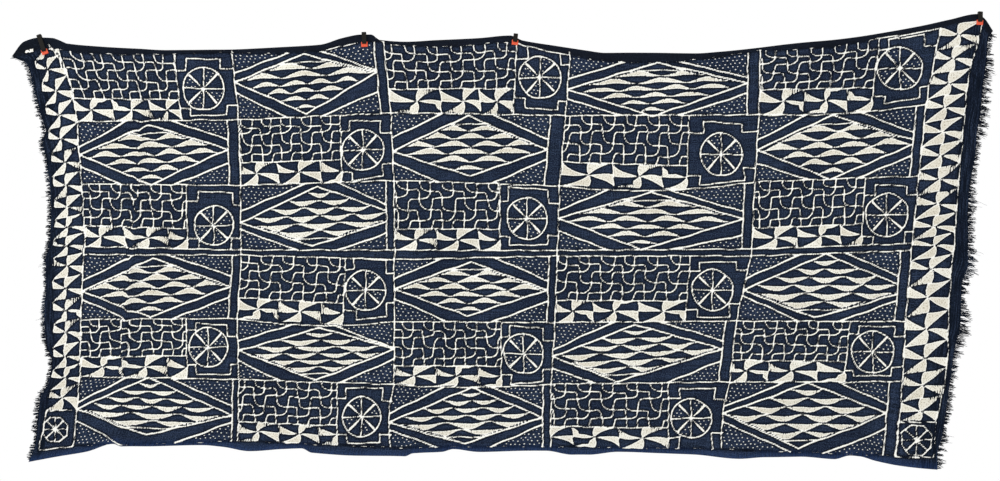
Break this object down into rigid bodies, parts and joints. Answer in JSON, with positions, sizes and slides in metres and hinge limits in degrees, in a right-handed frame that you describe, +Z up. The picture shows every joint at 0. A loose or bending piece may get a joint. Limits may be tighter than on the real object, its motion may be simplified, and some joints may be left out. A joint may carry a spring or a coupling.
{
  "type": "ndop cloth hung from spring clips",
  "caption": "Long rectangular resist-dyed indigo cotton cloth with cream figures and frayed ends, hung by its top edge from small spring clips.",
  "frame": {"origin": "on the top edge of the hung cloth, half way along, at the level where the clips hold it", "axes": "+X along the cloth's length to the right as seen from the front, -Y towards the viewer (the patterned front), +Z up"},
  "size_m": [1.9657, 0.0267, 0.9161],
  "materials": {
    "indigo_cotton": "hand-spun indigo-dyed cotton with undyed cream figures, matt",
    "indigo_thread": "frayed indigo-dyed cotton warp ends, matt",
    "dark_nylon": "moulded nylon, satin",
    "orange_rubber": "soft moulded pad, satin"
  },
  "bodies": {
    "root": {"cloth": "indigo_cotton", "fringe_left": "indigo_thread", "fringe_right": "indigo_thread", "clip_1_front_jaw": "dark_nylon", "clip_1_back_jaw": "dark_nylon", "clip_1_pivot": "dark_nylon", "clip_1_front_pad": "orange_rubber", "clip_1_back_pad": "orange_rubber", "clip_2_front_jaw": "dark_nylon", "clip_2_back_jaw": "dark_nylon", "clip_2_pivot": "dark_nylon", "clip_2_front_pad": "orange_rubber", "clip_2_back_pad": "orange_rubber", "clip_3_front_jaw": "dark_nylon", "clip_3_back_jaw": "dark_nylon", "clip_3_pivot": "dark_nylon", "clip_3_front_pad": "orange_rubber", "clip_3_back_pad": "orange_rubber", "clip_4_front_jaw": "dark_nylon", "clip_4_back_jaw": "dark_nylon", "clip_4_pivot": "dark_nylon", "clip_4_front_pad": "orange_rubber", "clip_4_back_pad": "orange_rubber"}
  },
  "joints": []
}
